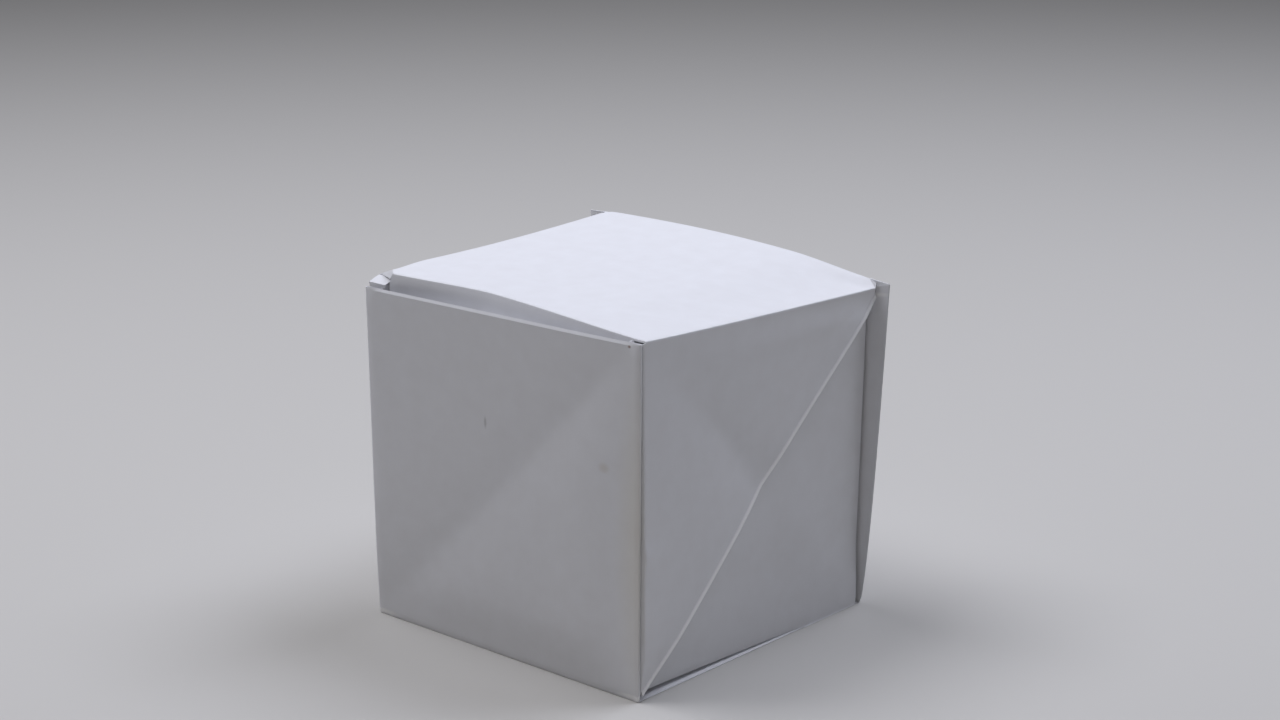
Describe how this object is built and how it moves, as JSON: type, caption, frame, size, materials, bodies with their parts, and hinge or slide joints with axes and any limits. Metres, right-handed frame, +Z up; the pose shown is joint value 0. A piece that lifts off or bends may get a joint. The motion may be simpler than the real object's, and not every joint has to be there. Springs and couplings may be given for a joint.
{
  "type": "origami cube",
  "caption": "Hollow cube folded from one sheet of white paper, with an open slot along one top edge and folded side flaps.",
  "frame": {"origin": "middle of the base, on the surface that the cube stands on", "axes": "+Z up; -Y out of the panel whose top edge is an open slot; +X out of one of the two locked sides"},
  "size_m": [0.0802, 0.0712, 0.073],
  "materials": {
    "white_paper": "uncoated matte"
  },
  "bodies": {
    "root": {"folded_sheet": "white_paper"}
  },
  "joints": []
}
